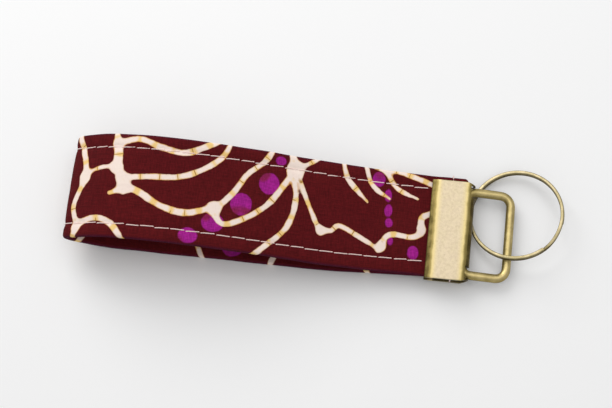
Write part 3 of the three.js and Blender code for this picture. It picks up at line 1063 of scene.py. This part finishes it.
def wire_loop_piece():
    """A bent brass wire: its two ends meet behind the clamp's nose."""
    pivot = joint_place("wire_loop_swing")
    reach_to = joint_place("split_ring_swing") - pivot
    reach = np.linalg.norm(reach_to)
    outward = reach_to / reach
    wide, bend, hidden = LOOP["half_width"], LOOP["bend"], LOOP["hidden_bend"]
    half = np.vstack(
        [
            [(0, LOOP["seam"] / 2)],
            quarter_turn(hidden, wide - hidden, hidden, 180),
            quarter_turn(reach - bend, wide - bend, bend, 90),
        ]
    )
    flat = np.vstack([half, [(reach, 0)], half[::-1] * (1, -1)])
    lengths = arc_lengths(flat)
    flat = resample(flat, np.linspace(0, lengths[-1], LOOP["points"]))
    for _ in range(LOOP["smoothings"]):
        flat[1:-1] = (flat[:-2] + 2 * flat[1:-1] + flat[2:]) / 4
    path = pivot + flat[:, :1] * outward + flat[:, 1:] * np.array([0, 1, 0])
    normal = np.cross(outward, (0, 1, 0))
    rings = sweep_rings(path, circle(WIRE_RADIUS, LOOP["sides"]), normal)
    for k, scale in enumerate((LOOP["chamfer"], (1 + LOOP["chamfer"]) / 2)):
        rings[k] = path[k] + (rings[k] - path[k]) * scale
        rings[-1 - k] = path[-1 - k] + (rings[-1 - k] - path[-1 - k]) * scale
    solid = Solid()
    solid.add_rings(rings)
    piece = solid.build("wire_rectangle", 50)
    p = vertices_mm(piece)
    height = (p - pivot) @ normal / WIRE_RADIUS
    clamp_shadow = smoothstep(clamp_high.x + 1.5 - p[:, 0], 0, 2.5)
    # Painted light: the top of the wire paler and its underside darker, with a painted shadow where
    # the wire runs by the clamp.
    patina_and_painted_light = 0.85 - 0.72 * height * np.sign(normal[2]) + 0.25 * clamp_shadow
    set_attribute(piece, "patina_and_painted_light", "FLOAT", patina_and_painted_light)
    set_attribute(piece, "gold", "FLOAT", np.ones(len(p)))
    return piece


RING = {
    "radius": 14.54,
    "radial": 1.15,
    "coil": 0.9,
    "gap": 0.04,
    "round": 0.32,
    "end": 0.86,
    "steps": 420,
}
JOGGLE = {"middle": -30, "span": 40}
RING_SLOPE = (0.23, -0.112)


def rounded_section(height, width, corner):
    """A rounded rectangle: the first axis is along the ring's axis, the second radial."""
    points = []
    for quarter, signs in enumerate(((1, 1), (-1, 1), (-1, -1), (1, -1))):
        angles = np.radians(90 * quarter + np.linspace(0, 90, 5))
        middle = np.array(signs) * (height / 2 - corner, width / 2 - corner)
        points.append(middle + corner * np.column_stack([np.cos(angles), np.sin(angles)]))
    return np.vstack(points)


def split_ring_piece():
    """A flattened wire wound twice round, stepping up from the lower coil to the upper."""
    low, high = box_mm("split_ring")
    centre = np.array((low + high) / 2)
    normal = unit(np.array([-RING_SLOPE[0], -RING_SLOPE[1], 1.0]))
    turn = Vector((0, 0, 1)).rotation_difference(Vector(normal)).to_matrix()
    half = JOGGLE["span"] / 2
    turned = half + np.linspace(0, 720 - JOGGLE["span"], RING["steps"])
    rise = smoothstep(turned, 360 - half, 360 + half) - 0.5
    angle = np.radians(JOGGLE["middle"] + turned)
    rise = rise * (RING["coil"] + RING["gap"])
    flat = np.column_stack([RING["radius"] * np.cos(angle), RING["radius"] * np.sin(angle), rise])
    path = centre + flat @ np.array(turn).T
    section = rounded_section(RING["coil"], RING["radial"], RING["round"])
    rings = sweep_rings(path, section, normal)
    for k in (0, -1):
        rings[k] = path[k] + (rings[k] - path[k]) * RING["end"]
    solid = Solid()
    solid.add_rings(rings)
    piece = solid.build("split_ring_coils", 50)
    p = vertices_mm(piece) - centre
    height = p @ normal
    across = np.linalg.norm(p - height[:, None] * normal, axis=1) - RING["radius"]
    # Painted light: shade between the two coils and along their flanks, and the upper coil painted a
    # little paler.
    between = np.exp(-((height / 0.14) ** 2))
    flank_shade = smoothstep(np.abs(across), 0.2, 0.55)
    patina_and_painted_light = 0.4 + 0.4 * between + 0.4 * flank_shade - 0.1 * np.clip(height, -1, 1)
    set_attribute(piece, "patina_and_painted_light", "FLOAT", patina_and_painted_light)
    set_attribute(piece, "gold", "FLOAT", np.full(len(p), 0.3))
    return piece


# ---------- the stage ----------
# Places and sizes here are in metres.
FLOOR_Z = cad_box[0][2]
FLOOR_HALF = 4.0


def floor():
    mesh = bpy.data.meshes.new("floor")
    signs = ((-1, -1), (1, -1), (1, 1), (-1, 1))
    corners = [(x * FLOOR_HALF, y * FLOOR_HALF, FLOOR_Z) for x, y in signs]
    mesh.from_pydata(corners, [], [(0, 1, 2, 3)])
    piece = bpy.data.objects.new("floor", mesh)
    bpy.context.scene.collection.objects.link(piece)
    shader = Shader("pale_floor", Roughness=0.9)
    mottle = shader.noise(shader.place(), 0.01, 2.0)
    shader.link(shader.mix(mottle, (0.93, 0.93, 0.93, 1), (0.95, 0.95, 0.95, 1)), "Base Color")
    piece.data.materials.append(shader.material)


def area_light(name, place, target, size, power):
    data = bpy.data.lights.new(name, "AREA")
    data.shape = "SQUARE"
    data.size = size
    data.energy = power
    light = bpy.data.objects.new(name, data)
    light.location = place
    direction = Vector(target) - Vector(place)
    light.rotation_euler = direction.to_track_quat("-Z", "Y").to_euler()
    bpy.context.scene.collection.objects.link(light)


def studio():
    middle = (-0.04, 0, 0)
    area_light("softbox_top", (0.02, 0.14, 0.7), middle, 0.62, 1.2)
    area_light("softbox_left", (-0.42, 0.56, 0.52), middle, 0.6, 3.5)
    world = bpy.data.worlds.new("studio")
    world.use_nodes = True
    world.node_tree.nodes["Background"].inputs[0].default_value = (1, 1, 1, 1)
    world.node_tree.nodes["Background"].inputs[1].default_value = 0.52
    bpy.context.scene.world = world
    bpy.context.scene.view_settings.view_transform = "Standard"


# ---------- the pieces, on their bodies ----------
fabric = print_fabric()
thread = thread_material()
brass = antique_brass()

sleeve = strap_sleeve()
show(sleeve, "strap", fabric, "strap_cover")

core = core_webbing()
show(core, "strap", webbing_material(), "strap_core")

STITCH_ROWS = (
    ("needle_thread_upper", 1, 1),
    ("needle_thread_lower", 1, -1),
    ("bobbin_thread_upper", -1, 1),
    ("bobbin_thread_lower", -1, -1),
)
for node, side, row in STITCH_ROWS:
    stitches = stitch_row(node.replace("thread", "stitches"), side, row)
    show(stitches, "strap", thread, node)
show(basting_stitch(), "strap", thread, "end_basting_stitch")

show(clamp_piece(), "strap", brass, "clamp")
show(wire_loop_piece(), "wire_loop", brass, "wire_loop")
show(split_ring_piece(), "split_ring", brass, "split_ring")

floor()
studio()
